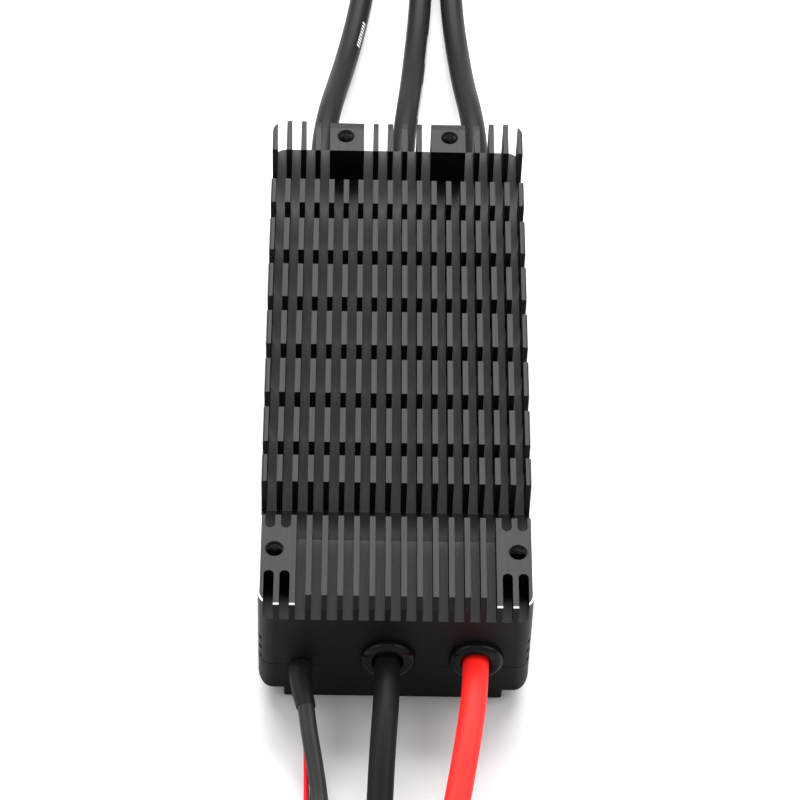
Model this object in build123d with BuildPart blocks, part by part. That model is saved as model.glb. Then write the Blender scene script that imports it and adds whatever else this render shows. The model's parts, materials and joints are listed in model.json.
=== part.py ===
from build123d import *
import os
from math import pi, radians, tan

# Electronic speed controller for a large brushless motor.
# Frame: millimetres, +Z up, base plate on z = 0, origin under the middle of the case.
# The battery and signal leads leave at -Y, the three motor phase leads at +Y.

os.makedirs("parts", exist_ok=True)

# ---------------------------------------------------------------- driving dimensions
BODY_LENGTH = 162.5
BODY_WIDTH = 67.5
CORNER_RADIUS = 3.8
BASE_PLATE_THICK = 3.5
TRAY_HEIGHT = 9.8
HOUSING_HEIGHT = 25.2
WALL = 2.6

FIN_COUNT = 18
FIN_PITCH = 3.9
FIN_THICK = 1.4
FIN_HEIGHT = 11.7
FRONT_FIN_HEIGHT = 6.4
EDGE_BREAK = 0.4
SEAM_BREAK = 0.15

WIRE_DIAMETER = 6.5
SIGNAL_DIAMETER = 4.2
AUX_DIAMETER = 1.3

# ---------------------------------------------------------------- derived levels
SEAM = BASE_PLATE_THICK + TRAY_HEIGHT
TOP = SEAM + HOUSING_HEIGHT
FIN_FLOOR = TOP - FIN_HEIGHT
FRONT_FLOOR = TOP - FRONT_FIN_HEIGHT
NEAR = -BODY_LENGTH / 2
FAR = BODY_LENGTH / 2
SIDE = BODY_WIDTH / 2
VALLEY = FIN_PITCH - FIN_THICK

# Finned top, distances from the near end
PAD_START = 10.2
PAD_END = 23.3
RAMP_END = 37.5
FIN_END_RUN = 2.8
NEAR_FIN_DROP = 1.8
FAR_FIN_DROP = 1.0

# Cross cuts through the fins, each as its start from the near end and its width
WIDE_GAPS = [(27.3, 10.6), (140.8, 10.6)]
NARROW_GAPS = [(46.4, 4.3), (61.9, 4.9), (78.05, 4.9), (94.25, 4.9), (110.5, 4.9), (126.7, 5.6)]
FAR_BLOCK_START = sum(WIDE_GAPS[1])

# Solid pads for the mounting holes fill these valleys
NEAR_PAD_VALLEYS = (0, 1, 15, 16)
FAR_BLOCK_VALLEYS = (4, 5, 11, 12)

# Mounting holes, M4 threads bored at their major diameter
MOUNT_HOLE_RADIUS = 2.0
MOUNT_HOLE_MOUTH = 0.35
NEAR_HOLE_X = 30.0
NEAR_HOLE_FROM_END = 16.8
NEAR_HOLE_DEPTH = 7.0
FAR_HOLE_X = 14.0
FAR_HOLE_FROM_END = 5.7
FAR_HOLE_DEPTH = 9.0

# Three fine grooves along each side wall
GROOVE_LEVELS = (22.1, 18.4, 14.7)
GROOVE_HEIGHT = 1.3
GROOVE_DEPTH = 0.9
GROOVE_END = 1.2

# Inside of the case
INNER_RADIUS = 2.0
ROOF = 22.3
END_ROOF = 24.4
FRONT_ROOF = 29.5
FRONT_POCKET = 21.0
FAR_POCKET = 15.0
TRAY_FLOOR = BASE_PLATE_THICK + 2.4
TRAY_EDGE_RADIUS = 3.2
PLATE_WIDTH = 54.6
PLATE_RADIUS = 0.5
PLATE_BREAK = 0.2

# Lead exits
LEAD_LEVEL = 17.3
SIGNAL_LEVEL = 12.6
BATTERY_X = {"negative": -1.6, "positive": 20.3}
PHASE_X = {"a": -20.6, "b": 1.6, "c": 22.4}
SIGNAL_X = -23.2
NECK_RADIUS = 5.2
FLANGE_RADIUS = 6.8
FLANGE_THICK = 1.6
BEAD_RIM = 0.6
BEAD_HEIGHT = 2.4
OPENING_REACH = WALL + 0.5
SIGNAL_RADIUS = 3.0

# Case screws, M2.5 countersunk
SCREW_PLACES = [(-14.2, -74.9), (9.4, -74.9), (-9.85, 74.9), (11.65, 74.9)]
SCREW_PLACES += [(x, y) for x in (-24.7, 24.7) for y in (-36, 36)]
PILLAR_RADIUS = 3.0
SCREW_RADIUS = 1.25
SCREW_CLEARANCE = 1.4
SCREW_HEAD_RADIUS = 2.35
SCREW_LENGTH = 16.0
SCREW_TAP_DEPTH = 8.0

PLATE_SCREW_PLACES = [(x, y) for x in (-18.0, 18.0) for y in (-55.0, 0.0, 55.0)]
PLATE_SCREW_GRIP = 2.0
PLATE_SCREW_TAP = 1.05

# Power board
BOARD_BOTTOM = 16.8
BOARD_THICK = 2.4
BOARD_TOP = BOARD_BOTTOM + BOARD_THICK
BOARD_WIDTH = 59.0
BOARD_NEAR = -62.0
BOARD_FAR = 66.0
SPACER_PLACES = [(x, y) for x in (-26.6, 26.6) for y in (-50.0, 50.0)]
SPACER_RADIUS = 2.4
BOARD_SCREW_RADIUS = 1.25
BOARD_SCREW_PASS = BOARD_SCREW_RADIUS + 0.15
BOARD_SCREW_BITE = 3.2
BOARD_SCREW_HEAD = (2.2, 1.6)
BOARD_SCREW_RECESS = 1.0
PILLAR_ROOM = PILLAR_RADIUS + 0.4


def save(piece, name):
    """Label a finished piece and write it under its node name."""
    piece.part.label = name
    export_step(piece.part, f"parts/{name}.step")


def floor_at(from_near):
    """Height of the valley floor: a raised deck at the near end, a ramp, then the deep floor."""
    deck_end = PAD_END + VALLEY / 2
    share = min(1, max(0, (from_near - deck_end) / (RAMP_END - deck_end)))
    return FRONT_FLOOR + share * (FIN_FLOOR - FRONT_FLOOR)


def cut_outline(start, end):
    """Side outline, as (y, z), of a cut from above the fin tops down to the valley floor."""
    stops = [start] + [y for y in (PAD_END + VALLEY / 2, RAMP_END) if start < y < end] + [end]
    floor = [(NEAR + y, floor_at(y)) for y in stops]
    return [(NEAR + start, TOP + 1)] + floor + [(NEAR + end, TOP + 1)]


# ---------------------------------------------------------------- round openings for the leads
with BuildPart() as lead_openings:
    for end, places in ((NEAR, BATTERY_X), (FAR, PHASE_X)):
        with BuildSketch(Plane.XZ.offset(-end)):
            with Locations(*[(x, LEAD_LEVEL) for x in places.values()]):
                Circle(NECK_RADIUS)
        extrude(amount=OPENING_REACH, both=True)
    with BuildSketch(Plane.XZ.offset(-NEAR)):
        with Locations((SIGNAL_X, SIGNAL_LEVEL)):
            Circle(SIGNAL_RADIUS)
    extrude(amount=OPENING_REACH, both=True)

# ---------------------------------------------------------------- finned housing
with BuildPart() as heatsink_housing:
    with BuildSketch(Plane.XY.offset(SEAM)):
        RectangleRounded(BODY_WIDTH, BODY_LENGTH, CORNER_RADIUS)
    extrude(amount=HOUSING_HEIGHT)
    chamfer(faces().sort_by(Axis.Z)[-1].edges(), EDGE_BREAK)
    chamfer(faces().sort_by(Axis.Z)[0].edges(), SEAM_BREAK)

    for index in range(FIN_COUNT - 1):
        x = (index + 1 - FIN_COUNT / 2) * FIN_PITCH
        start = PAD_END + VALLEY / 2 if index in NEAR_PAD_VALLEYS else -1
        end = BODY_LENGTH + 1
        if index in FAR_BLOCK_VALLEYS:
            end = FAR_BLOCK_START
        with BuildSketch(Plane.YZ.offset(x)):
            with BuildLine():
                Polyline(*cut_outline(start, end), close=True)
            make_face()
        extrude(amount=VALLEY / 2, both=True, mode=Mode.SUBTRACT)

    # Round-ended slots in front of and behind each near pad
    pad_valleys = [(index + 1 - FIN_COUNT / 2) * FIN_PITCH for index in NEAR_PAD_VALLEYS]
    with BuildSketch(Plane.XY.offset(FRONT_FLOOR)):
        slot_length = PAD_START - VALLEY / 2 + 1
        with Locations(*[(x, NEAR - 1 + slot_length / 2) for x in pad_valleys]):
            Rectangle(VALLEY, slot_length)
        with Locations(*[(x, NEAR + PAD_START - VALLEY / 2) for x in pad_valleys]):
            Circle(VALLEY / 2)
        with Locations(*[(x, NEAR + PAD_END + VALLEY / 2) for x in pad_valleys]):
            Circle(VALLEY / 2)
    extrude(amount=FRONT_FIN_HEIGHT + 1, mode=Mode.SUBTRACT)

    # Cross cuts: one wide gap near each end and a row of narrow ones between
    for start, width in WIDE_GAPS + NARROW_GAPS:
        with BuildSketch(Plane.YZ):
            with BuildLine():
                Polyline(*cut_outline(start, start + width), close=True)
            make_face()
        extrude(amount=BODY_WIDTH, both=True, mode=Mode.SUBTRACT)

    # The middle twelve fins slope down at both ends
    for end, inward, drop in ((NEAR, 1, NEAR_FIN_DROP), (FAR, -1, FAR_FIN_DROP)):
        with BuildSketch(Plane.YZ):
            with BuildLine():
                Polyline(
                    (end, TOP - drop),
                    (end + inward * FIN_END_RUN, TOP),
                    (end + inward * FIN_END_RUN, TOP + 1),
                    (end - inward, TOP + 1),
                    (end - inward, TOP - drop),
                    close=True,
                )
            make_face()
        extrude(amount=6 * FIN_PITCH, both=True, mode=Mode.SUBTRACT)

    # Hollow underside, deeper at both ends where the leads come in
    with BuildSketch(Plane.XY.offset(SEAM)):
        RectangleRounded(BODY_WIDTH - 2 * WALL, BODY_LENGTH - 2 * WALL, INNER_RADIUS)
    extrude(amount=ROOF - SEAM, mode=Mode.SUBTRACT)
    for middle, length, roof in (
        (NEAR + WALL + FRONT_POCKET / 2, FRONT_POCKET, FRONT_ROOF),
        (FAR - WALL - FAR_POCKET / 2, FAR_POCKET, END_ROOF),
    ):
        with BuildSketch(Plane.XY.offset(SEAM)):
            with Locations((0, middle)):
                RectangleRounded(BODY_WIDTH - 2 * WALL, length, INNER_RADIUS)
        extrude(amount=roof - SEAM, mode=Mode.SUBTRACT)

    # Screw pillars with tapped holes
    for x, y in SCREW_PLACES:
        roof = FRONT_ROOF if y < NEAR + FRONT_POCKET else END_ROOF
        with BuildSketch(Plane.XY.offset(SEAM)):
            with Locations((x, y)):
                Circle(PILLAR_RADIUS)
        extrude(amount=roof - SEAM)
    with BuildSketch(Plane.XY.offset(SEAM)):
        with Locations(*SCREW_PLACES):
            Circle(SCREW_RADIUS)
    extrude(amount=SCREW_TAP_DEPTH, mode=Mode.SUBTRACT)
    with BuildSketch(Plane.XY.offset(ROOF)):
        with Locations(*SPACER_PLACES):
            Circle(BOARD_SCREW_RADIUS)
    extrude(amount=BOARD_SCREW_BITE + 0.2, mode=Mode.SUBTRACT)

    add(lead_openings.part, mode=Mode.SUBTRACT)

    for level in GROOVE_LEVELS:
        with BuildSketch(Plane.XY.offset(level - GROOVE_HEIGHT / 2)):
            with Locations((-SIDE, 0), (SIDE, 0)):
                Rectangle(2 * GROOVE_DEPTH, BODY_LENGTH - 2 * GROOVE_END)
        extrude(amount=GROOVE_HEIGHT, mode=Mode.SUBTRACT)

    # Threaded mounting holes in the near pads and the far blocks
    near_holes = [(x, NEAR + NEAR_HOLE_FROM_END) for x in (-NEAR_HOLE_X, NEAR_HOLE_X)]
    far_holes = [(x, FAR - FAR_HOLE_FROM_END) for x in (-FAR_HOLE_X, FAR_HOLE_X)]
    for holes, depth in ((near_holes, NEAR_HOLE_DEPTH), (far_holes, FAR_HOLE_DEPTH)):
        with Locations(*[(x, y, TOP) for x, y in holes]):
            CounterSinkHole(MOUNT_HOLE_RADIUS, MOUNT_HOLE_RADIUS + MOUNT_HOLE_MOUTH, depth, 90)
save(heatsink_housing, "heatsink_housing")

# ---------------------------------------------------------------- lower case
GASKET_WIDTH = 1.0
GASKET_DEPTH = 0.8


def seal_ring():
    """Draw the track of the seal round the rim, centred in the wall."""
    track = WALL - GASKET_WIDTH
    inner = WALL + GASKET_WIDTH
    RectangleRounded(BODY_WIDTH - track, BODY_LENGTH - track, CORNER_RADIUS - track / 2)
    RectangleRounded(
        BODY_WIDTH - inner, BODY_LENGTH - inner, CORNER_RADIUS - inner / 2, mode=Mode.SUBTRACT
    )


with BuildPart() as lower_case:
    # The long bottom edges are rounded, while both ends stay flat down to the base plate
    with BuildSketch(Plane.XZ.offset(-NEAR)):
        with Locations((0, BASE_PLATE_THICK + TRAY_HEIGHT / 2)):
            Rectangle(BODY_WIDTH, TRAY_HEIGHT)
        fillet(vertices().sort_by(Axis.Y)[:2], TRAY_EDGE_RADIUS)
    extrude(amount=-BODY_LENGTH)
    with BuildSketch(Plane.XY.offset(BASE_PLATE_THICK)):
        RectangleRounded(BODY_WIDTH, BODY_LENGTH, CORNER_RADIUS)
    extrude(amount=TRAY_HEIGHT, mode=Mode.INTERSECT)
    chamfer(faces().sort_by(Axis.Z)[-1].edges(), SEAM_BREAK)
    with BuildSketch(Plane.XY.offset(TRAY_FLOOR)):
        RectangleRounded(BODY_WIDTH - 2 * WALL, BODY_LENGTH - 2 * WALL, INNER_RADIUS)
    extrude(amount=SEAM - TRAY_FLOOR, mode=Mode.SUBTRACT)
    with BuildSketch(Plane.XY.offset(TRAY_FLOOR)):
        with Locations(*SCREW_PLACES):
            Circle(PILLAR_RADIUS)
    extrude(amount=SEAM - TRAY_FLOOR)
    with Locations(*[Plane((x, y, BASE_PLATE_THICK), z_dir=(0, 0, -1)) for x, y in SCREW_PLACES]):
        CounterSinkHole(SCREW_CLEARANCE, SCREW_HEAD_RADIUS + 0.1, TRAY_HEIGHT + 1, 90)
    with BuildSketch(Plane.XY.offset(BASE_PLATE_THICK)):
        with Locations(*PLATE_SCREW_PLACES):
            Circle(PLATE_SCREW_TAP)
    extrude(amount=PLATE_SCREW_GRIP, mode=Mode.SUBTRACT)
    with BuildSketch(Plane.XY.offset(SEAM - GASKET_DEPTH)):
        seal_ring()
    extrude(amount=GASKET_DEPTH, mode=Mode.SUBTRACT)
    add(lead_openings.part, mode=Mode.SUBTRACT)
save(lower_case, "lower_case")

with BuildPart() as case_seal:
    with BuildSketch(Plane.XY.offset(SEAM - GASKET_DEPTH)):
        seal_ring()
    extrude(amount=GASKET_DEPTH)
    add(lead_openings.part, mode=Mode.SUBTRACT)
save(case_seal, "case_seal")

with BuildPart() as base_plate:
    with BuildSketch():
        RectangleRounded(PLATE_WIDTH, BODY_LENGTH, PLATE_RADIUS)
    extrude(amount=BASE_PLATE_THICK)
    chamfer(faces().sort_by(Axis.Z)[0].edges(), PLATE_BREAK)
    with Locations(*[Plane((x, y, 0), z_dir=(0, 0, -1)) for x, y in PLATE_SCREW_PLACES]):
        CounterSinkHole(SCREW_CLEARANCE, SCREW_HEAD_RADIUS + 0.1, BASE_PLATE_THICK + 1, 90)
save(base_plate, "base_plate")


def countersunk_screw(head_radius, shank_radius, length):
    """Half outline, as (radius, height), of a countersunk screw whose head face is at 0."""
    neck = head_radius - shank_radius
    return [
        (0, 0.5),
        (0.75, 0.5),
        (0.75, 0),
        (head_radius, 0),
        (shank_radius, neck),
        (shank_radius, length),
        (0, length),
    ]


for name, places, level, length in (
    ("case_screws", SCREW_PLACES, BASE_PLATE_THICK, SCREW_LENGTH),
    ("base_plate_screws", PLATE_SCREW_PLACES, 0, BASE_PLATE_THICK + PLATE_SCREW_GRIP - 0.2),
):
    shank = SCREW_RADIUS if name == "case_screws" else PLATE_SCREW_TAP
    with BuildPart() as screw:
        with BuildSketch(Plane.XZ):
            with BuildLine():
                Polyline(*countersunk_screw(SCREW_HEAD_RADIUS, shank, length), close=True)
            make_face()
        revolve(axis=Axis.Z)
    with BuildPart() as screws:
        with Locations(*[(x, y, level) for x, y in places]):
            add(screw.part)
    save(screws, name)

# ---------------------------------------------------------------- power board
with BuildPart() as power_board:
    with BuildSketch(Plane.XY.offset(BOARD_BOTTOM)):
        with Locations((0, (BOARD_NEAR + BOARD_FAR) / 2)):
            RectangleRounded(BOARD_WIDTH, BOARD_FAR - BOARD_NEAR, 1.5)
        with Locations(*SCREW_PLACES[4:]):
            Circle(PILLAR_ROOM, mode=Mode.SUBTRACT)
        with Locations(*SPACER_PLACES):
            Circle(BOARD_SCREW_PASS, mode=Mode.SUBTRACT)
    extrude(amount=BOARD_THICK)
save(power_board, "power_board")

with BuildPart() as board_spacers:
    with BuildSketch(Plane.XY.offset(BOARD_TOP)):
        with Locations(*SPACER_PLACES):
            RegularPolygon(SPACER_RADIUS, 6)
            Circle(BOARD_SCREW_PASS, mode=Mode.SUBTRACT)
    extrude(amount=ROOF - BOARD_TOP)
save(board_spacers, "board_spacers")

with BuildPart() as board_screws:
    head_radius, head_height = BOARD_SCREW_HEAD
    with BuildSketch(Plane.XY.offset(BOARD_BOTTOM - head_height)):
        with Locations(*SPACER_PLACES):
            Circle(head_radius)
            RegularPolygon(0.85, 6, mode=Mode.SUBTRACT)
    extrude(amount=head_height)
    shank_start = BOARD_BOTTOM - head_height + BOARD_SCREW_RECESS
    with BuildSketch(Plane.XY.offset(shank_start)):
        with Locations(*SPACER_PLACES):
            Circle(BOARD_SCREW_RADIUS)
    extrude(amount=ROOF - shank_start + BOARD_SCREW_BITE)
save(board_screws, "board_screws")

# Power transistors: four in a row across the board, six rows, each with a tab and eight pins
TRANSISTOR = (9.9, 10.4, 2.3)
TRANSISTOR_GRID = (10.8, 14.0, 4, 6)
with BuildPart() as power_transistors:
    with BuildSketch(Plane.XY.offset(BOARD_TOP)):
        with GridLocations(*TRANSISTOR_GRID):
            Rectangle(TRANSISTOR[0], TRANSISTOR[1])
    extrude(amount=TRANSISTOR[2])
    chamfer(faces().group_by(Axis.Z)[-1].edges(), 0.3)
    with BuildSketch(Plane.XY.offset(BOARD_TOP)):
        with GridLocations(*TRANSISTOR_GRID):
            with GridLocations(1.2, 0, 8, 1):
                with Locations((0, -TRANSISTOR[1] / 2 - 0.55)):
                    Rectangle(0.7, 1.1)
            with Locations((0, TRANSISTOR[1] / 2 + 0.6)):
                Rectangle(8.2, 1.2)
    extrude(amount=0.5)
save(power_transistors, "power_transistors")

with BuildPart() as thermal_pad:
    with BuildSketch(Plane.XY.offset(BOARD_TOP + TRANSISTOR[2])):
        Rectangle(42.4, 82)
    extrude(amount=ROOF - BOARD_TOP - TRANSISTOR[2])
save(thermal_pad, "thermal_pad")

# ---------------------------------------------------------------- parts under the power board
BUS_BAR = (6.0, 100.0, 1.5)
for name, x in (("positive_bus_bar", 6.0), ("negative_bus_bar", -6.0)):
    with BuildPart() as bus_bar:
        with BuildSketch(Plane.XY.offset(BOARD_BOTTOM - BUS_BAR[2])):
            with Locations((x, 2)):
                RectangleRounded(BUS_BAR[0], BUS_BAR[1], 1.0)
                with GridLocations(0, 12, 1, 8):
                    Circle(0.9, mode=Mode.SUBTRACT)
        extrude(amount=BUS_BAR[2])
    save(bus_bar, name)

CAN_RADIUS = 5.0
CAN_LENGTH = 18.0
CAN_LEVEL = TRAY_FLOOR + 0.4 + CAN_RADIUS
CAN_ROWS = [-25.0 + i * 10.5 for i in range(5)]
CAN_INNER_X = 11.5
with BuildPart() as capacitor_cans:
    for side in (-1, 1):
        with BuildSketch(Plane.YZ.offset(side * CAN_INNER_X)):
            with Locations(*[(y, CAN_LEVEL) for y in CAN_ROWS]):
                Circle(CAN_RADIUS)
        extrude(amount=side * CAN_LENGTH)
    ends = faces().filter_by(Axis.X).edges()
    fillet(ends, 0.5)
save(capacitor_cans, "capacitor_cans")

with BuildPart() as capacitor_seals:
    for side in (-1, 1):
        with BuildSketch(Plane.YZ.offset(side * CAN_INNER_X)):
            with Locations(*[(y, CAN_LEVEL) for y in CAN_ROWS]):
                Circle(CAN_RADIUS - 0.8)
        extrude(amount=-side * 0.8)
save(capacitor_seals, "capacitor_seals")

# Each capacitor's two legs run inwards and turn up to the board
LEG_RADIUS = 0.35
LEG_BEND = 1.0
with BuildPart() as capacitor_legs:
    for side in (-1, 1):
        for y in CAN_ROWS:
            for offset in (-2.5, 2.5):
                start = (side * (CAN_INNER_X - 0.8), y + offset, CAN_LEVEL)
                turn = (side * (CAN_INNER_X - 2.0), y + offset, CAN_LEVEL)
                top = (side * (CAN_INNER_X - 2.0), y + offset, BOARD_BOTTOM)
                with BuildLine() as leg:
                    FilletPolyline(start, turn, top, radius=LEG_BEND)
                with BuildSketch(Plane(origin=start, z_dir=(-side, 0, 0))):
                    Circle(LEG_RADIUS)
                sweep(path=leg.wires()[0])
save(capacitor_legs, "capacitor_legs")

with BuildPart() as ceramic_capacitors:
    with BuildSketch(Plane.XY.offset(BOARD_BOTTOM - 2.2)):
        with Locations((0, 2)):
            with GridLocations(0, 8, 1, 12):
                Rectangle(3.2, 4.6)
    extrude(amount=2.2)
save(ceramic_capacitors, "ceramic_capacitors")

with BuildPart() as insulating_sheet:
    with BuildSketch(Plane.XY.offset(TRAY_FLOOR)):
        with Locations((0, -4)):
            RectangleRounded(61, 56, 2)
    extrude(amount=0.35)
save(insulating_sheet, "insulating_sheet")

# ---------------------------------------------------------------- control board
CONTROL_BOTTOM = 9.0
CONTROL_THICK = 1.6
CONTROL_TOP = CONTROL_BOTTOM + CONTROL_THICK
CONTROL_MIDDLE = -48.0
POST_PLACES = [(x, CONTROL_MIDDLE + y) for x in (-17.0, 17.0) for y in (-11.0, 11.0)]
with BuildPart() as control_board:
    with BuildSketch(Plane.XY.offset(CONTROL_BOTTOM)):
        with Locations((0, CONTROL_MIDDLE)):
            RectangleRounded(40, 28, 1.5)
        with Locations(*POST_PLACES):
            Circle(1.3, mode=Mode.SUBTRACT)
    extrude(amount=CONTROL_THICK)
save(control_board, "control_board")

with BuildPart() as control_board_posts:
    with BuildSketch(Plane.XY.offset(TRAY_FLOOR)):
        with Locations(*POST_PLACES):
            Circle(2.3)
    extrude(amount=CONTROL_BOTTOM - TRAY_FLOOR)
    with BuildSketch(Plane.XY.offset(CONTROL_BOTTOM)):
        with Locations(*POST_PLACES):
            Circle(1.25)
    extrude(amount=CONTROL_THICK + 0.8)
save(control_board_posts, "control_board_posts")

with BuildPart() as microcontroller:
    with BuildSketch(Plane.XY.offset(CONTROL_TOP)):
        with Locations((-6, CONTROL_MIDDLE + 4)):
            Rectangle(10, 10)
    extrude(amount=1.3)
    chamfer(faces().sort_by(Axis.Z)[-1].edges(), 0.2)
save(microcontroller, "microcontroller")

with BuildPart() as gate_drivers:
    with BuildSketch(Plane.XY.offset(CONTROL_TOP)):
        with Locations((6, CONTROL_MIDDLE - 1)):
            with GridLocations(0, 8, 1, 3):
                Rectangle(6, 5)
    extrude(amount=1.1)
save(gate_drivers, "gate_drivers")

with BuildPart() as regulator_coil:
    with BuildSketch(Plane.XY.offset(CONTROL_TOP)):
        with Locations((-14, CONTROL_MIDDLE - 5)):
            RectangleRounded(7, 7, 1)
    extrude(amount=3.2)
    fillet(faces().sort_by(Axis.Z)[-1].edges(), 0.5)
save(regulator_coil, "regulator_coil")

# Pin header that joins the control board to the power board above it
with BuildPart() as board_header:
    with BuildSketch(Plane.XY.offset(CONTROL_TOP)):
        with Locations((13.5, CONTROL_MIDDLE)):
            Rectangle(5, 17)
    extrude(amount=BOARD_BOTTOM - CONTROL_TOP)
save(board_header, "board_header")

with BuildPart() as signal_header:
    with BuildSketch(Plane.XY.offset(CONTROL_TOP)):
        with Locations((-8, CONTROL_MIDDLE - 11)):
            Rectangle(11, 4.6)
    extrude(amount=4.4)
save(signal_header, "signal_header")

with BuildPart() as current_shunts:
    with BuildSketch(Plane.XY.offset(BOARD_TOP)):
        with Locations((-12.5, -52)):
            with GridLocations(0, 4.4, 1, 3):
                Rectangle(6.4, 3.2)
    extrude(amount=0.9)
save(current_shunts, "current_shunts")

# ---------------------------------------------------------------- lead entries
LUG_RADIUS = 3.9
LUG_START = 8.0
BARREL_END = {NEAR: NEAR + 16.25, FAR: FAR - 14.25}
TONGUE = (7.0, 11.0, 1.6)
ENTRIES = [(f"battery_{name}", x, NEAR, 1) for name, x in BATTERY_X.items()]
ENTRIES += [(f"phase_{name}", x, FAR, -1) for name, x in PHASE_X.items()]

for name, x, end, inward in ENTRIES:
    # Copper lug: a barrel that grips the lead's strands and a tongue soldered to the board
    with BuildPart() as lug:
        barrel_start = end + inward * LUG_START
        barrel_length = abs(BARREL_END[end] - barrel_start)
        with BuildSketch(Plane.XZ.offset(-barrel_start)):
            with Locations((x, LEAD_LEVEL)):
                Circle(LUG_RADIUS)
        extrude(amount=-inward * barrel_length)
        with BuildSketch(Plane.XY.offset(BOARD_TOP)):
            with Locations((x, BARREL_END[end] + inward * TONGUE[1] / 2)):
                Rectangle(TONGUE[0], TONGUE[1])
        extrude(amount=TONGUE[2])
    save(lug, f"{name}_lug")

    # Rubber grommet: inner flange, neck through the wall and a round outer bead
    with BuildPart() as grommet:
        outward = -inward
        bore = WIRE_DIAMETER / 2
        with BuildSketch(Plane(origin=(x, end, LEAD_LEVEL), x_dir=(1, 0, 0), z_dir=(0, 0, 1))):
            with BuildLine():
                Polyline(
                    (bore + 0.5, outward * 1.5),
                    (bore, outward * 1.0),
                    (bore, -outward * (WALL + FLANGE_THICK)),
                    (FLANGE_RADIUS - 0.6, -outward * (WALL + FLANGE_THICK)),
                    (FLANGE_RADIUS, -outward * (WALL + 1.0)),
                    (FLANGE_RADIUS, -outward * WALL),
                    (NECK_RADIUS, -outward * WALL),
                    (NECK_RADIUS, 0),
                    (FLANGE_RADIUS, 0),
                    (FLANGE_RADIUS, outward * BEAD_RIM),
                )
                ThreePointArc(
                    (FLANGE_RADIUS, outward * BEAD_RIM),
                    (bore + 1.9, outward * BEAD_HEIGHT),
                    (bore + 0.5, outward * 1.5),
                )
            make_face()
        revolve(axis=Axis((x, end, LEAD_LEVEL), (0, 1, 0)))
    save(grommet, f"{name}_grommet")


# Three thin wires from the signal cable to its header on the control board
PIGTAIL_LEVEL = 12.4
SLEEVE_START = NEAR + 5.25
HEADER_FACE = CONTROL_MIDDLE - 13.3
with BuildPart() as signal_pigtail:
    for offset in (-1.5, 0.0, 1.5):
        start = (SIGNAL_X + offset, SLEEVE_START, PIGTAIL_LEVEL)
        first = (SIGNAL_X + offset, SLEEVE_START + 5 - offset, PIGTAIL_LEVEL)
        second = (-8 + 1.6 * offset, HEADER_FACE - 4 - offset, PIGTAIL_LEVEL)
        stop = (-8 + 1.6 * offset, HEADER_FACE, PIGTAIL_LEVEL)
        with BuildLine() as wire:
            FilletPolyline(start, first, second, stop, radius=2)
        with BuildSketch(Plane(origin=start, z_dir=(0, 1, 0))):
            Circle(0.6)
        sweep(path=wire.wires()[0])
save(signal_pigtail, "signal_pigtail")

# ---------------------------------------------------------------- signal cable's heat-shrink sleeve
SLEEVE_END = (-21.6, -92.6, 11.0)
SLEEVE_AIM = (0.1, -0.96, -0.26)
SLEEVE_END_WIDTH = 2.45
SLEEVE_END_HEIGHT = 2.85
with BuildPart() as signal_sleeve:
    mouth = (SIGNAL_X, NEAR - 0.5, SIGNAL_LEVEL)
    with BuildSketch(Plane(origin=(SIGNAL_X, SLEEVE_START, SIGNAL_LEVEL), z_dir=(0, -1, 0))):
        Circle(SIGNAL_RADIUS)
    extrude(amount=SLEEVE_START - mouth[1])
    with BuildSketch(Plane(origin=mouth, x_dir=(1, 0, 0), z_dir=(0, -1, 0))):
        Circle(SIGNAL_RADIUS)
    with BuildSketch(Plane(origin=SLEEVE_END, x_dir=(1, 0, 0), z_dir=SLEEVE_AIM)):
        Ellipse(SLEEVE_END_WIDTH, SLEEVE_END_HEIGHT)
    loft()
save(signal_sleeve, "signal_sleeve")

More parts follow.
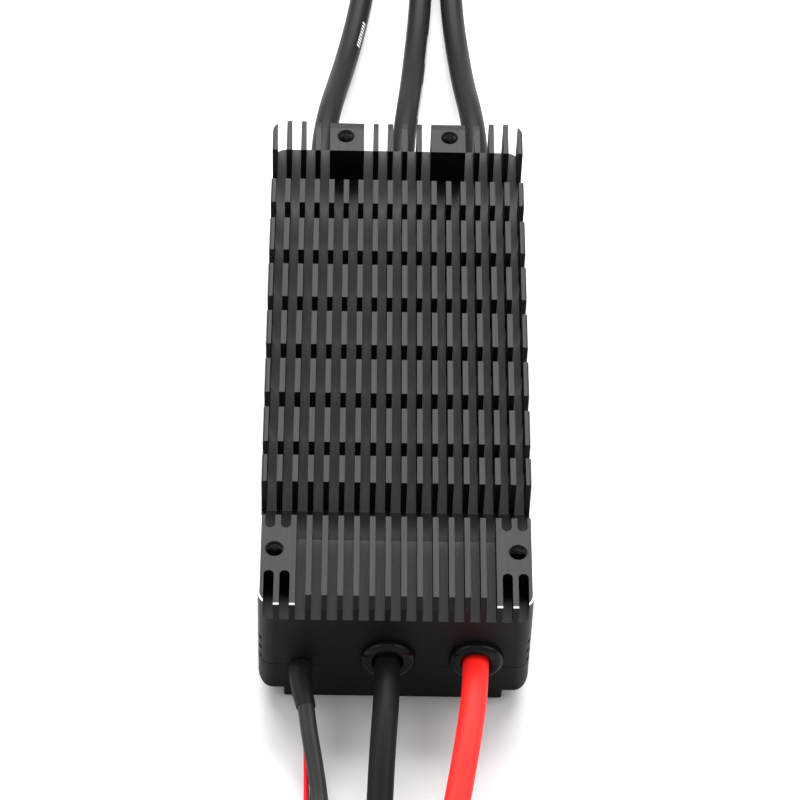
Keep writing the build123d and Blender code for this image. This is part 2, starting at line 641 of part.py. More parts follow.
# ---------------------------------------------------------------- leads
# Each route is the line that the lead's middle follows, from its lug or sleeve to its connector.
LYING = WIRE_DIAMETER / 2
ROUTES = {
    "battery_negative_lead": (
        WIRE_DIAMETER,
        [
            (BATTERY_X["negative"], NEAR + LUG_START, LEAD_LEVEL),
            (BATTERY_X["negative"], -90.0, LEAD_LEVEL),
            (-2.7, -107.0, 15.0),
            (-3.35, -123.0, 9.6),
            (-4.2, -139.0, 5.0),
            (-5.2, -155.0, LYING),
            (-5.6, -176.0, LYING),
            (-4.6, -196.0, 4.2),
            (-4.2, -213.0, 5.2),
            (-4.2, -229.0, 5.2),
        ],
    ),
    "battery_positive_lead": (
        WIRE_DIAMETER,
        [
            (BATTERY_X["positive"], NEAR + LUG_START, LEAD_LEVEL),
            (BATTERY_X["positive"], -88.5, LEAD_LEVEL),
            (18.3, -104.0, 15.4),
            (15.6, -119.0, 10.6),
            (12.6, -135.5, 5.4),
            (10.6, -154.0, LYING),
            (10.4, -175.0, LYING),
            (12.2, -195.0, 4.2),
            (13.4, -212.5, 5.2),
            (13.4, -229.0, 5.2),
        ],
    ),
    "phase_a_lead": (
        WIRE_DIAMETER,
        [
            (PHASE_X["a"], FAR - LUG_START, LEAD_LEVEL),
            (PHASE_X["a"], 90.0, LEAD_LEVEL),
            (-18.9, 107.0, 14.9),
            (-16.3, 124.0, 9.2),
            (-13.8, 139.5, 5.0),
            (-10.9, 157.5, LYING),
            (-8.6, 176.0, LYING),
            (-8.2, 195.0, 3.7),
            (-9.0, 212.0, 4.5),
            (-9.0, 228.0, 4.5),
        ],
    ),
    "phase_b_lead": (
        WIRE_DIAMETER,
        [
            (PHASE_X["b"], FAR - LUG_START, LEAD_LEVEL),
            (PHASE_X["b"], 90.0, LEAD_LEVEL),
            (3.1, 107.0, 14.9),
            (4.5, 124.0, 9.3),
            (5.6, 140.0, 5.2),
            (6.9, 158.0, LYING),
            (7.6, 176.0, LYING),
            (6.6, 195.0, 3.7),
            (5.2, 212.0, 4.5),
            (5.2, 228.0, 4.5),
        ],
    ),
    "phase_c_lead": (
        WIRE_DIAMETER,
        [
            (PHASE_X["c"], FAR - LUG_START, LEAD_LEVEL),
            (PHASE_X["c"], 90.0, LEAD_LEVEL),
            (21.1, 107.0, 14.9),
            (19.2, 124.0, 9.3),
            (17.9, 140.0, 5.2),
            (16.4, 158.0, LYING),
            (15.8, 176.0, LYING),
            (17.6, 195.0, 3.7),
            (19.6, 212.0, 4.5),
            (19.6, 228.0, 4.5),
        ],
    ),
    "signal_cable": (
        SIGNAL_DIAMETER,
        [
            (-21.58, -92.78, 11.68),
            (-20.8, -98.64, 10.09),
            (-19.2, -106.5, 7.2),
            (-17.7, -115.5, 4.0),
            (-16.4, -128.0, 2.3),
            (-16.2, -150.0, 2.2),
            (-18.5, -176.0, 2.2),
            (-18.9, -204.0, 2.2),
            (-16.8, -230.0, 2.4),
            (-16.0, -250.0, 3.0),
            (-16.0, -268.0, 3.0),
        ],
    ),
    "aux_wire_red": (
        AUX_DIAMETER,
        [
            (-22.30, -92.12, 8.95),
            (-21.55, -97.88, 7.39),
            (-21.3, -105.0, 3.6),
            (-21.1, -113.5, 1.2),
            (-21.4, -126.0, 0.75),
            (-23.5, -146.0, 0.75),
            (-25.4, -171.0, 0.75),
            (-25.5, -200.0, 0.75),
            (-26.6, -224.0, 0.8),
            (-26.9, -243.0, 1.5),
            (-26.9, -257.0, 1.9),
        ],
    ),
    "aux_wire_black": (
        AUX_DIAMETER,
        [
            (-21.01, -91.99, 8.99),
            (-20.25, -97.75, 7.43),
            (-19.9, -105.0, 3.6),
            (-19.6, -113.5, 1.2),
            (-19.9, -126.0, 0.75),
            (-21.7, -146.0, 0.75),
            (-23.7, -171.0, 0.75),
            (-23.6, -200.0, 0.75),
            (-25.0, -224.0, 0.8),
            (-25.5, -243.0, 1.5),
            (-25.5, -257.0, 1.9),
        ],
    ),
}


def bend_radii(points):
    """The largest arc that each corner leaves room for: 0.45 of its shorter run over tan(half turn)."""
    radii = []
    for before, corner, after in zip(points, points[1:], points[2:]):
        arriving = Vector(*corner) - Vector(*before)
        leaving = Vector(*after) - Vector(*corner)
        half_turn = radians(arriving.get_angle(leaving)) / 2
        radii.append(0.45 * min(arriving.length, leaving.length) / tan(half_turn))
    return radii


for name, (diameter, points) in ROUTES.items():
    radii = bend_radii(points)
    with BuildPart() as lead:
        with BuildLine() as route:
            FilletPolyline(*points, radius=radii)
        path = route.wires()[0]
        with BuildSketch(Plane(origin=path @ 0, z_dir=path % 0)):
            Circle(diameter / 2)
        sweep(path=path)
    smallest = min(radii) / diameter
    filled = lead.part.volume / (path.length * pi * diameter**2 / 4)
    print(name, f"length {path.length:.1f} tightest {smallest:.1f} diameters volume {filled:.4f}")
    save(lead, name)

# ---------------------------------------------------------------- bullet connectors on the power leads
# Along the lead: a solder cup against the lead's end, a collar, then a pin or a socket.
# A heat-shrink sleeve covers the cup and the lead's last stretch.
BULLETS = {
    "battery_negative": {"pin": 4.0, "cup": 4.5, "socket": True},
    "battery_positive": {"pin": 4.0, "cup": 4.5, "socket": False},
    "phase_a": {"pin": 3.0, "cup": 3.75, "socket": False},
    "phase_b": {"pin": 3.0, "cup": 3.75, "socket": False},
    "phase_c": {"pin": 3.0, "cup": 3.75, "socket": False},
}
CUP_LENGTH = 9.0
COLLAR_LENGTH = 1.2
PIN_LENGTH = 13.0
SHRINK = 0.55
SHRINK_OVERLAP = 9.0


def pin_outline(pin, cup):
    """Half outline, as (radius, distance), of a plug bullet with a slightly barrelled pin."""
    collar = CUP_LENGTH + COLLAR_LENGTH
    return [
        (0, 0),
        (cup, 0),
        (cup, CUP_LENGTH),
        (cup + 0.5, CUP_LENGTH),
        (cup + 0.5, collar),
        (pin - 0.5, collar),
        (pin - 0.5, collar + 1.2),
        (pin, collar + 3.0),
        (pin, collar + PIN_LENGTH - 3.0),
        (pin - 0.5, collar + PIN_LENGTH - 1.2),
        (pin - 1.3, collar + PIN_LENGTH),
        (0, collar + PIN_LENGTH),
    ]


def socket_outline(pin, cup):
    """Half outline, as (radius, distance), of the matching socket bullet."""
    mouth = CUP_LENGTH + PIN_LENGTH + 2
    return [
        (0, 0),
        (cup, 0),
        (cup, mouth),
        (pin + 0.2, mouth),
        (pin, mouth - 0.3),
        (pin, CUP_LENGTH + 1),
        (0, CUP_LENGTH + 1),
    ]


for name, sizes in BULLETS.items():
    end_point = ROUTES[f"{name}_lead"][1][-1]
    along = (0, 1 if end_point[1] > 0 else -1, 0)
    frame = Plane(origin=end_point, x_dir=(1, 0, 0), z_dir=(0, 0, -1 if along[1] < 0 else 1))
    outline = (socket_outline if sizes["socket"] else pin_outline)(sizes["pin"], sizes["cup"])
    with BuildPart() as bullet:
        with BuildSketch(frame):
            with BuildLine():
                Polyline(*outline, close=True)
            make_face()
        revolve(axis=Axis(end_point, along))
    save(bullet, f"{name}_bullet")

    covered = CUP_LENGTH + PIN_LENGTH + 2 if sizes["socket"] else CUP_LENGTH
    wire, cup = WIRE_DIAMETER / 2, sizes["cup"]
    with BuildPart() as shrink:
        with BuildSketch(frame):
            with BuildLine():
                Polyline(
                    (wire, -SHRINK_OVERLAP),
                    (wire + SHRINK, -SHRINK_OVERLAP),
                    (wire + SHRINK, -2.0),
                    (cup + SHRINK, 0.5),
                    (cup + SHRINK, covered),
                    (cup, covered),
                    (cup, 0),
                    (wire, 0),
                    close=True,
                )
            make_face()
        revolve(axis=Axis(end_point, along))
    save(shrink, f"{name}_shrink")

# ---------------------------------------------------------------- plugs on the thin cables
SIGNAL_PLUG = (9.8, 13.0, 5.6)
SIGNAL_RELIEF = 6.0
AUX_PLUG = (5.4, 9.0, 3.6)

signal_end = ROUTES["signal_cable"][1][-1]
with BuildPart() as signal_plug:
    # Tapered strain relief, then a rectangular body with three sockets in its face
    with BuildSketch(Plane(origin=signal_end, x_dir=(1, 0, 0), z_dir=(0, -1, 0))):
        Circle(SIGNAL_DIAMETER / 2)
    with BuildSketch(
        Plane(origin=Vector(*signal_end) - (0, SIGNAL_RELIEF, 0), x_dir=(1, 0, 0), z_dir=(0, -1, 0))
    ):
        RectangleRounded(SIGNAL_PLUG[0] - 2, SIGNAL_PLUG[2] - 0.6, 1.6)
    loft()
    body_start = Vector(*signal_end) - (0, SIGNAL_RELIEF, 0)
    with BuildSketch(Plane(origin=body_start, x_dir=(1, 0, 0), z_dir=(0, -1, 0))):
        RectangleRounded(SIGNAL_PLUG[0], SIGNAL_PLUG[2], 0.9)
    extrude(amount=SIGNAL_PLUG[1])
    with BuildSketch(
        Plane(origin=body_start - (0, SIGNAL_PLUG[1], 0), x_dir=(1, 0, 0), z_dir=(0, -1, 0))
    ):
        with GridLocations(2.54, 0, 3, 1):
            Rectangle(1.3, 1.3)
    extrude(amount=-8, mode=Mode.SUBTRACT)
save(signal_plug, "signal_plug")

with BuildPart() as signal_plug_contacts:
    inner = body_start - (0, SIGNAL_PLUG[1] - 8, 0)
    with BuildSketch(Plane(origin=inner, x_dir=(1, 0, 0), z_dir=(0, -1, 0))):
        with GridLocations(2.54, 0, 3, 1):
            Rectangle(0.64, 0.64)
    extrude(amount=6.5)
save(signal_plug_contacts, "signal_plug_contacts")

aux_end = ROUTES["aux_wire_red"][1][-1]
aux_middle = (aux_end[0] + ROUTES["aux_wire_black"][1][-1][0]) / 2
with BuildPart() as aux_plug:
    with BuildSketch(Plane(origin=(aux_middle, *aux_end[1:]), x_dir=(1, 0, 0), z_dir=(0, -1, 0))):
        RectangleRounded(AUX_PLUG[0], AUX_PLUG[2], 0.4)
    extrude(amount=AUX_PLUG[1])
    with BuildSketch(
        Plane(origin=(aux_middle, aux_end[1] - AUX_PLUG[1], aux_end[2]), x_dir=(1, 0, 0), z_dir=(0, -1, 0))
    ):
        with GridLocations(2.0, 0, 2, 1):
            Rectangle(1.1, 1.1)
    extrude(amount=-6, mode=Mode.SUBTRACT)
save(aux_plug, "aux_plug")
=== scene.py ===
import json
import math

import bpy
import numpy as np
from mathutils import Euler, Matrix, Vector


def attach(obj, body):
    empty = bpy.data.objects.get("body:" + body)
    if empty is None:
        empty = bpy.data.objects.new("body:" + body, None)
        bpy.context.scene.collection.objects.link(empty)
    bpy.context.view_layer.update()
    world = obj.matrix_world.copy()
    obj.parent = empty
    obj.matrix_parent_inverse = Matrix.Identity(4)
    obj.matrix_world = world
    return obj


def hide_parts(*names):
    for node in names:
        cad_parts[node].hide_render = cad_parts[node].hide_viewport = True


# Electronic speed controller: finned case, two battery leads and a signal cable in front (-Y),
# three motor phase leads behind (+Y). Metres, +Z up, base plate on z = 0.

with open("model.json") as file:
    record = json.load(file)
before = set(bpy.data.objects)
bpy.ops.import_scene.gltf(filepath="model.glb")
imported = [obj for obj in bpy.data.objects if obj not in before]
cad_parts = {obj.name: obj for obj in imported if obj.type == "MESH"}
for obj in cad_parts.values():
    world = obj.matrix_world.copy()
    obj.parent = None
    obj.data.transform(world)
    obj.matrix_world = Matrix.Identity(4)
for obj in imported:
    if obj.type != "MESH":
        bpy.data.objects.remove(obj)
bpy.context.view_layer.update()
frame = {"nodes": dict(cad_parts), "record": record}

# ---------------------------------------------------------------- case, as built
NEAR, FAR, SIDE, TOP = -0.08125, 0.08125, 0.03375, 0.0385
CORNER_RADIUS = 0.0038
EDGE_BREAK = 0.0004
PAD_ZONE_END = NEAR + 0.0272
BOARD_TOP = 0.0192
LEAD_LEVEL = 0.0173
WIRE_RADIUS = 0.00325
MOUNT_HOLES = {
    "near_left": (-0.030, -0.06445, 0.0070),
    "near_right": (0.030, -0.06445, 0.0070),
    "far_left": (-0.014, 0.07555, 0.0090),
    "far_right": (0.014, 0.07555, 0.0090),
}
LEAD_EXITS = {
    "battery_negative": (-0.0016, NEAR),
    "battery_positive": (0.0203, NEAR),
    "phase_a": (-0.0206, FAR),
    "phase_b": (0.0016, FAR),
    "phase_c": (0.0224, FAR),
}

# Control points of each cord's middle line, from inside the case or sleeve to its connector
ROUTES = {
    "battery_negative_lead": [
        (-0.0016, -0.07325, 0.0173), (-0.0016, -0.09, 0.0173), (-0.0027, -0.107, 0.015),
        (-0.00335, -0.123, 0.0096), (-0.0042, -0.139, 0.005), (-0.0052, -0.155, 0.00325),
        (-0.0056, -0.176, 0.00325), (-0.0046, -0.196, 0.0042), (-0.0042, -0.213, 0.0052),
        (-0.0042, -0.229, 0.0052),
    ],
    "battery_positive_lead": [
        (0.0203, -0.07325, 0.0173), (0.0203, -0.0885, 0.0173), (0.0183, -0.104, 0.0154),
        (0.0156, -0.119, 0.0106), (0.0126, -0.1355, 0.0054), (0.0106, -0.154, 0.00325),
        (0.0104, -0.175, 0.00325), (0.0122, -0.195, 0.0042), (0.0134, -0.2125, 0.0052),
        (0.0134, -0.229, 0.0052),
    ],
    "phase_a_lead": [
        (-0.0206, 0.07325, 0.0173), (-0.0206, 0.09, 0.0173), (-0.0189, 0.107, 0.0149),
        (-0.0163, 0.124, 0.0092), (-0.0138, 0.1395, 0.005), (-0.0109, 0.1575, 0.00325),
        (-0.0086, 0.176, 0.00325), (-0.0082, 0.195, 0.0037), (-0.009, 0.212, 0.0045),
        (-0.009, 0.228, 0.0045),
    ],
    "phase_b_lead": [
        (0.0016, 0.07325, 0.0173), (0.0016, 0.09, 0.0173), (0.0031, 0.107, 0.0149),
        (0.0045, 0.124, 0.0093), (0.0056, 0.14, 0.0052), (0.0069, 0.158, 0.00325),
        (0.0076, 0.176, 0.00325), (0.0066, 0.195, 0.0037), (0.0052, 0.212, 0.0045),
        (0.0052, 0.228, 0.0045),
    ],
    "phase_c_lead": [
        (0.0224, 0.07325, 0.0173), (0.0224, 0.09, 0.0173), (0.0211, 0.107, 0.0149),
        (0.0192, 0.124, 0.0093), (0.0179, 0.14, 0.0052), (0.0164, 0.158, 0.00325),
        (0.0158, 0.176, 0.00325), (0.0176, 0.195, 0.0037), (0.0196, 0.212, 0.0045),
        (0.0196, 0.228, 0.0045),
    ],
    "signal_cable": [
        (-0.02158, -0.09278, 0.01168), (-0.0208, -0.09864, 0.01009), (-0.0192, -0.1065, 0.0072),
        (-0.0177, -0.1155, 0.004), (-0.0164, -0.128, 0.0023), (-0.0162, -0.15, 0.0022),
        (-0.0185, -0.176, 0.0022), (-0.0189, -0.204, 0.0022), (-0.0168, -0.23, 0.0024),
        (-0.016, -0.25, 0.003), (-0.016, -0.268, 0.003),
    ],
    "aux_wire_red": [
        (-0.0223, -0.09212, 0.00895), (-0.02155, -0.09788, 0.00739), (-0.0213, -0.105, 0.0036),
        (-0.0211, -0.1135, 0.0012), (-0.0214, -0.126, 0.00075), (-0.0235, -0.146, 0.00075),
        (-0.0254, -0.171, 0.00075), (-0.0255, -0.2, 0.00075), (-0.0266, -0.224, 0.0008),
        (-0.0269, -0.243, 0.0015), (-0.0269, -0.257, 0.0019),
    ],
    "aux_wire_black": [
        (-0.02101, -0.09199, 0.00899), (-0.02025, -0.09775, 0.00743), (-0.0199, -0.105, 0.0036),
        (-0.0196, -0.1135, 0.0012), (-0.0199, -0.126, 0.00075), (-0.0217, -0.146, 0.00075),
        (-0.0237, -0.171, 0.00075), (-0.0236, -0.2, 0.00075), (-0.025, -0.224, 0.0008),
        (-0.0255, -0.243, 0.0015), (-0.0255, -0.257, 0.0019),
    ],
}

# ---------------------------------------------------------------- camera
CAMERA_PLACE = (-0.014631, -0.608794, 0.757530)
CAMERA_TURN = (39.46955, -1.33404, 0.12714)
LENS, SENSOR = 164.90, 36.0

camera_data = bpy.data.cameras.new("camera")
camera_data.sensor_width, camera_data.lens = SENSOR, LENS
camera_data.clip_start, camera_data.clip_end = 0.05, 50.0
camera = bpy.data.objects.new("camera", camera_data)
camera.location = CAMERA_PLACE
camera.rotation_euler = Euler([math.radians(angle) for angle in CAMERA_TURN], "XYZ")
bpy.context.scene.collection.objects.link(camera)
bpy.context.scene.camera = camera


# ---------------------------------------------------------------- finishes
class Value:
    """One output of a finish's nodes. Arithmetic on it adds Math nodes."""

    def __init__(self, finish, socket):
        self.finish, self.socket = finish, socket

    def maths(self, operation, *others):
        values = dict(enumerate((self, *others)))
        return self.finish.add("ShaderNodeMath", {"operation": operation}, values)

    def __add__(self, other):
        return self.maths("ADD", other)

    def __sub__(self, other):
        return self.maths("SUBTRACT", other)

    def __rsub__(self, other):
        return self.maths("MULTIPLY", -1.0) + other

    def __mul__(self, other):
        return self.maths("MULTIPLY", other)

    def __lt__(self, other):
        return self.maths("LESS_THAN", other)

    def __gt__(self, other):
        return self.maths("GREATER_THAN", other)

    def __abs__(self):
        return self.maths("ABSOLUTE")

    __radd__, __rmul__ = __add__, __mul__


class Finish:
    """One material with its nodes. Steady values go straight onto the shader's own sockets."""

    def __init__(self, name, **steady):
        self.material = bpy.data.materials.new(name)
        self.material.use_nodes = True
        self.tree = self.material.node_tree
        self.shader = self.tree.nodes["Principled BSDF"]
        for socket, value in steady.items():
            self.shader.inputs[socket.replace("_", " ")].default_value = value

    def add(self, kind, settings=None, inputs=None, output=0):
        """A node of that kind, its settings set first, then its sockets' values or links."""
        node = self.tree.nodes.new(kind)
        for name, value in (settings or {}).items():
            setattr(node, name, value)
        for name, value in (inputs or {}).items():
            self.feed(node.inputs[name], value)
        return Value(self, node.outputs[output])

    def feed(self, socket, value):
        if isinstance(value, Value):
            self.tree.links.new(value.socket, socket)
        else:
            socket.default_value = value

    def axes(self, source="Object"):
        """The three numbers of a point, in metres, or of the piece's own unrolled map."""
        where = self.add("ShaderNodeTexCoord", output=source)
        return [self.add("ShaderNodeSeparateXYZ", None, {0: where}, i) for i in range(3)]

    def noise(self, scale, detail=3.0, stretch=(1, 1, 1), source="Object"):
        """Noise from 0 to 1, drawn out along the axes where stretch is small."""
        where = self.add("ShaderNodeTexCoord", output=source)
        placed = self.add("ShaderNodeMapping", None, {"Vector": where, "Scale": stretch})
        inputs = {"Vector": placed, "Scale": scale, "Detail": detail}
        return self.add("ShaderNodeTexNoise", None, inputs, "Fac")

    def mix(self, share, first, second):
        """The first colour where share is 0 and the second where it is 1."""
        inputs = {0: share, 6: first, 7: second}
        return self.add("ShaderNodeMix", {"data_type": "RGBA"}, inputs, 2)

    def colour(self, value):
        self.feed(self.shader.inputs["Base Color"], value)

    def roughness(self, value):
        self.feed(self.shader.inputs["Roughness"], value)

    def metallic(self, value):
        self.feed(self.shader.inputs["Metallic"], value)

    def bump(self, height, distance, strength=1.0):
        """Height from 0 to 1 raises the surface by that distance in metres."""
        inputs = {"Height": height, "Distance": distance, "Strength": strength}
        normal = self.add("ShaderNodeBump", None, inputs, "Normal")
        self.feed(self.shader.inputs["Normal"], normal)


def tone(colour, factor):
    """The colour made darker or lighter, as red, green, blue and alpha."""
    return (*[min(1.0, c * factor) for c in colour], 1.0)


def mottled(name, colour, rough, spread=0.2, patch=300.0, grain=5000.0, lift=2e-5, **steady):
    """A finish whose colour and roughness drift over patches, with a fine grain in its surface."""
    finish = Finish(name, **steady)
    drift = finish.noise(patch)
    finish.colour(finish.mix(drift, tone(colour, 1 - spread), tone(colour, 1 + spread)))
    finish.roughness(finish.noise(patch * 3) * 0.16 + (rough - 0.08))
    finish.bump(finish.noise(grain, 2.0), lift)
    return finish


def black_anodised():
    """Black anodised aluminium: fine blasted grain, faint cutter lines along the fins, and bare
    metal on the bevel round the solid pads."""
    finish = Finish("black_anodised_aluminium")
    x, y, z = finish.axes()
    beyond_side = (abs(x) - (SIDE - CORNER_RADIUS)).maths("MAXIMUM", 0.0)
    beyond_end = ((NEAR + CORNER_RADIUS) - y).maths("MAXIMUM", 0.0)
    out = (beyond_side * beyond_side + beyond_end * beyond_end).maths("SQRT")
    on_bevel = (out > CORNER_RADIUS - EDGE_BREAK + 2e-5) * (z > TOP - EDGE_BREAK - 2e-5)
    bare = on_bevel * (y < PAD_ZONE_END)
    drift = finish.noise(70.0)
    coat = finish.mix(drift, (0.0044, 0.0045, 0.0049, 1), (0.0062, 0.0063, 0.0068, 1))
    finish.colour(finish.mix(bare, coat, (0.86, 0.87, 0.88, 1)))
    lines = finish.noise(2400.0, 2.0, (1, 0.02, 1))
    finish.roughness((lines * 0.10 + drift * 0.06 + 0.44) * (1 - bare) + bare * 0.45)
    finish.metallic(bare * 0.2 + 0.8)
    finish.bump(finish.noise(9000.0, 2.0) * 0.6 + lines * 0.4, 1.2e-5)
    return finish


def silicone(name, colour, rough=0.40, printed=None, shine=0.055):
    """Satin silicone insulation on the cord's own map, in millimetres along and round it:
    faint drawn lines, slight dust, and where printed, a row of plain white dashes."""
    finish = Finish(name, Specular_IOR_Level=shine)
    along, round_it, _ = finish.axes("UV")
    dust = finish.noise(0.35, 4.0, (0.35, 1, 1), "UV")
    body = finish.mix(dust, tone(colour, 0.86), tone(colour, 1.14))
    if printed:
        middle, start, end = printed
        dash_height, dash_pitch, group_pitch = 1.3, 1.3, 31.0
        band = abs(round_it - middle) < dash_height / 2
        stroke = (along * (1 / dash_pitch)).maths("FRACT") < 0.42
        word = (along * (1 / group_pitch)).maths("FRACT") < 0.62
        inside = (along > start) * (along < end)
        worn = finish.noise(2.6, 3.0, (1, 1, 1), "UV") > 0.42
        body = finish.mix(band * stroke * word * inside * worn, body, (0.62, 0.62, 0.62, 1))
    finish.colour(body)
    lines = finish.noise(3.2, 2.0, (0.03, 1, 1), "UV")
    finish.roughness(dust * 0.14 + lines * 0.06 + (rough - 0.1))
    finish.bump(lines * 0.7 + finish.noise(5.0, 2.0, (1, 1, 1), "UV") * 0.3, 2.5e-5)
    return finish


def heat_shrink(name, colour):
    """Shrunk tube: half-matt, with soft ridges round it where it has gathered."""
    finish = Finish(name, Specular_IOR_Level=0.13)
    drift = finish.noise(260.0, 4.0)
    finish.colour(finish.mix(drift, tone(colour, 0.8), tone(colour, 1.25)))
    ridges = finish.noise(900.0, 3.0, (0.3, 1, 0.3))
    finish.roughness(drift * 0.16 + 0.42)
    finish.bump(ridges * 0.7 + finish.noise(6000.0) * 0.3, 6e-5)
    return finish


def circuit_board():
    """Dark solder mask with raised tracks: bands of lines, broken up by noise."""
    finish = Finish("solder_mask", Coat_Weight=0.3)
    x, y, _ = finish.axes()
    across = (x * 520.0).maths("FRACT") < 0.34
    down = (y * 430.0).maths("FRACT") < 0.34
    region = finish.noise(90.0, 1.0) > 0.5
    tracks = across * region + down * (1 - region)
    finish.colour(finish.mix(tracks, (0.006, 0.030, 0.014, 1), (0.018, 0.075, 0.032, 1)))
    finish.roughness(tracks * 0.12 + finish.noise(900.0) * 0.1 + 0.28)
    finish.bump(tracks, 4e-5)
    return finish


def masked(finish, mask, colour, rough):
    """Bare metal over a finish wherever the mask is 1, such as tinned ends on a component."""
    under = finish.shader.inputs["Base Color"].links[0].from_socket
    finish.colour(finish.mix(mask, Value(finish, under), (*colour, 1)))
    matt = Value(finish, finish.shader.inputs["Roughness"].links[0].from_socket)
    finish.roughness(matt * (1 - mask) + mask * rough)
    finish.metallic(mask * 1.0)
    return finish


def chip_plastic():
    """Black moulded packages; the transistors' pins and tabs at board level are tinned."""
    finish = mottled("moulded_epoxy", (0.022, 0.022, 0.023), 0.55)
    level = finish.axes()[2]
    pins = (level > BOARD_TOP - 1e-4) * (level < BOARD_TOP + 5.3e-4)
    return masked(finish, pins, (0.72, 0.72, 0.70), 0.35)


def capacitor_sleeve():
    """Dark plastic sleeve with a pale stripe along each can, and bare aluminium on its end."""
    finish = mottled("capacitor_sleeve", (0.012, 0.014, 0.030), 0.3, Coat_Weight=0.4)
    x, y, z = finish.axes()
    place = ((y + 0.03025) * (1 / 0.0105)).maths("FRACT")
    stripe = (abs(place - 0.5) < 0.16) * (z < 0.0085)
    under = Value(finish, finish.shader.inputs["Base Color"].links[0].from_socket)
    finish.colour(finish.mix(stripe, under, (0.5, 0.5, 0.52, 1)))
    return masked(finish, abs(x) > 0.02945, (0.78, 0.78, 0.79), 0.3)


def ceramic():
    """Fired ceramic blocks, 8 mm apart, with tinned ends."""
    finish = mottled("fired_ceramic", (0.36, 0.25, 0.15), 0.5)
    y = finish.axes()[1]
    place = abs(((y + 0.046) * 125.0).maths("FRACT") - 0.5)
    return masked(finish, place > 0.215, (0.75, 0.75, 0.73), 0.35)


METAL = {"Metallic": 1.0}
BLACK_SILICONE = (0.0050, 0.0052, 0.0058)
RED_SILICONE = (0.86, 0.016, 0.013)
THREAD_FINISH = mottled("tapped_aluminium", (0.03, 0.03, 0.032), 0.24, patch=900.0, **METAL)
FINISHES = {
    "black_anodised": black_anodised(),
    "seal_rubber": mottled("seal_rubber", (0.015, 0.015, 0.016), 0.7),
    "black_steel": mottled("black_oxide_steel", (0.06, 0.06, 0.065), 0.38, patch=900.0, **METAL),
    "circuit_board": circuit_board(),
    "brass_fittings": mottled("turned_brass", (0.78, 0.60, 0.30), 0.3, patch=900.0, **METAL),
    "chip_plastic": chip_plastic(),
    "thermal_silicone": mottled("filled_silicone", (0.25, 0.36, 0.50), 0.75, lift=6e-5),
    "copper": mottled("tinned_copper", (0.86, 0.50, 0.34), 0.32, patch=500.0, **METAL),
    "capacitor_sleeve": capacitor_sleeve(),
    "capacitor_rubber": mottled("capacitor_bung", (0.02, 0.02, 0.02), 0.6),
    "tinned_steel": mottled("tinned_wire", (0.70, 0.70, 0.69), 0.3, patch=900.0, **METAL),
    "ceramic": ceramic(),
    "insulating_film": mottled("polyester_film", (0.62, 0.47, 0.20), 0.25, grain=900.0),
    "ferrite": mottled("pressed_ferrite", (0.06, 0.06, 0.062), 0.5, lift=5e-5),
    "header_plastic": mottled("moulded_nylon_header", (0.03, 0.03, 0.031), 0.5),
    "shunt_alloy": mottled("resistance_alloy", (0.58, 0.56, 0.52), 0.4, **METAL),
    "grommet_rubber": mottled(
        "glossy_moulded_rubber", (0.004, 0.004, 0.0045), 0.15, lift=1e-5, Specular_IOR_Level=0.10
    ),
    "pigtail_wire": mottled("pigtail_silicone", (0.45, 0.45, 0.45), 0.5),
    "black_heat_shrink": heat_shrink("black_heat_shrink", (0.005, 0.005, 0.0055)),
    "red_heat_shrink": heat_shrink("red_heat_shrink", (0.42, 0.012, 0.012)),
    "black_silicone": silicone("black_silicone", BLACK_SILICONE),
    "red_silicone": silicone("red_silicone", RED_SILICONE, 0.46, shine=0.13),
    "cable_jacket": silicone("matt_cable_jacket", (0.012, 0.012, 0.013), 0.42, shine=0.17),
    "thin_red_wire": silicone("thin_red_silicone", (0.55, 0.012, 0.022)),
    "thin_black_wire": silicone("thin_black_silicone", (0.012, 0.012, 0.013)),
    "gold_plate": mottled("gold_plating", (0.90, 0.64, 0.26), 0.22, 0.08, 500.0, **METAL),
    "plug_plastic": mottled("moulded_nylon", (0.022, 0.022, 0.023), 0.48, lift=3e-5),
}

# Dashes on two leads: millimetres round the lead, then where the row starts and ends along it
PRINTED = {
    "phase_a_lead": silicone("printed_silicone_a", BLACK_SILICONE, printed=(8.2, 70.0, 150.0)),
    "phase_b_lead": silicone("printed_silicone_b", BLACK_SILICONE, printed=(9.6, 20.0, 76.0)),
}

for row in frame["record"]["subparts"]:
    node = frame["nodes"][row["node"]]
    node.data.materials.clear()
    node.data.materials.append(FINISHES[row["material_slot"]].material)


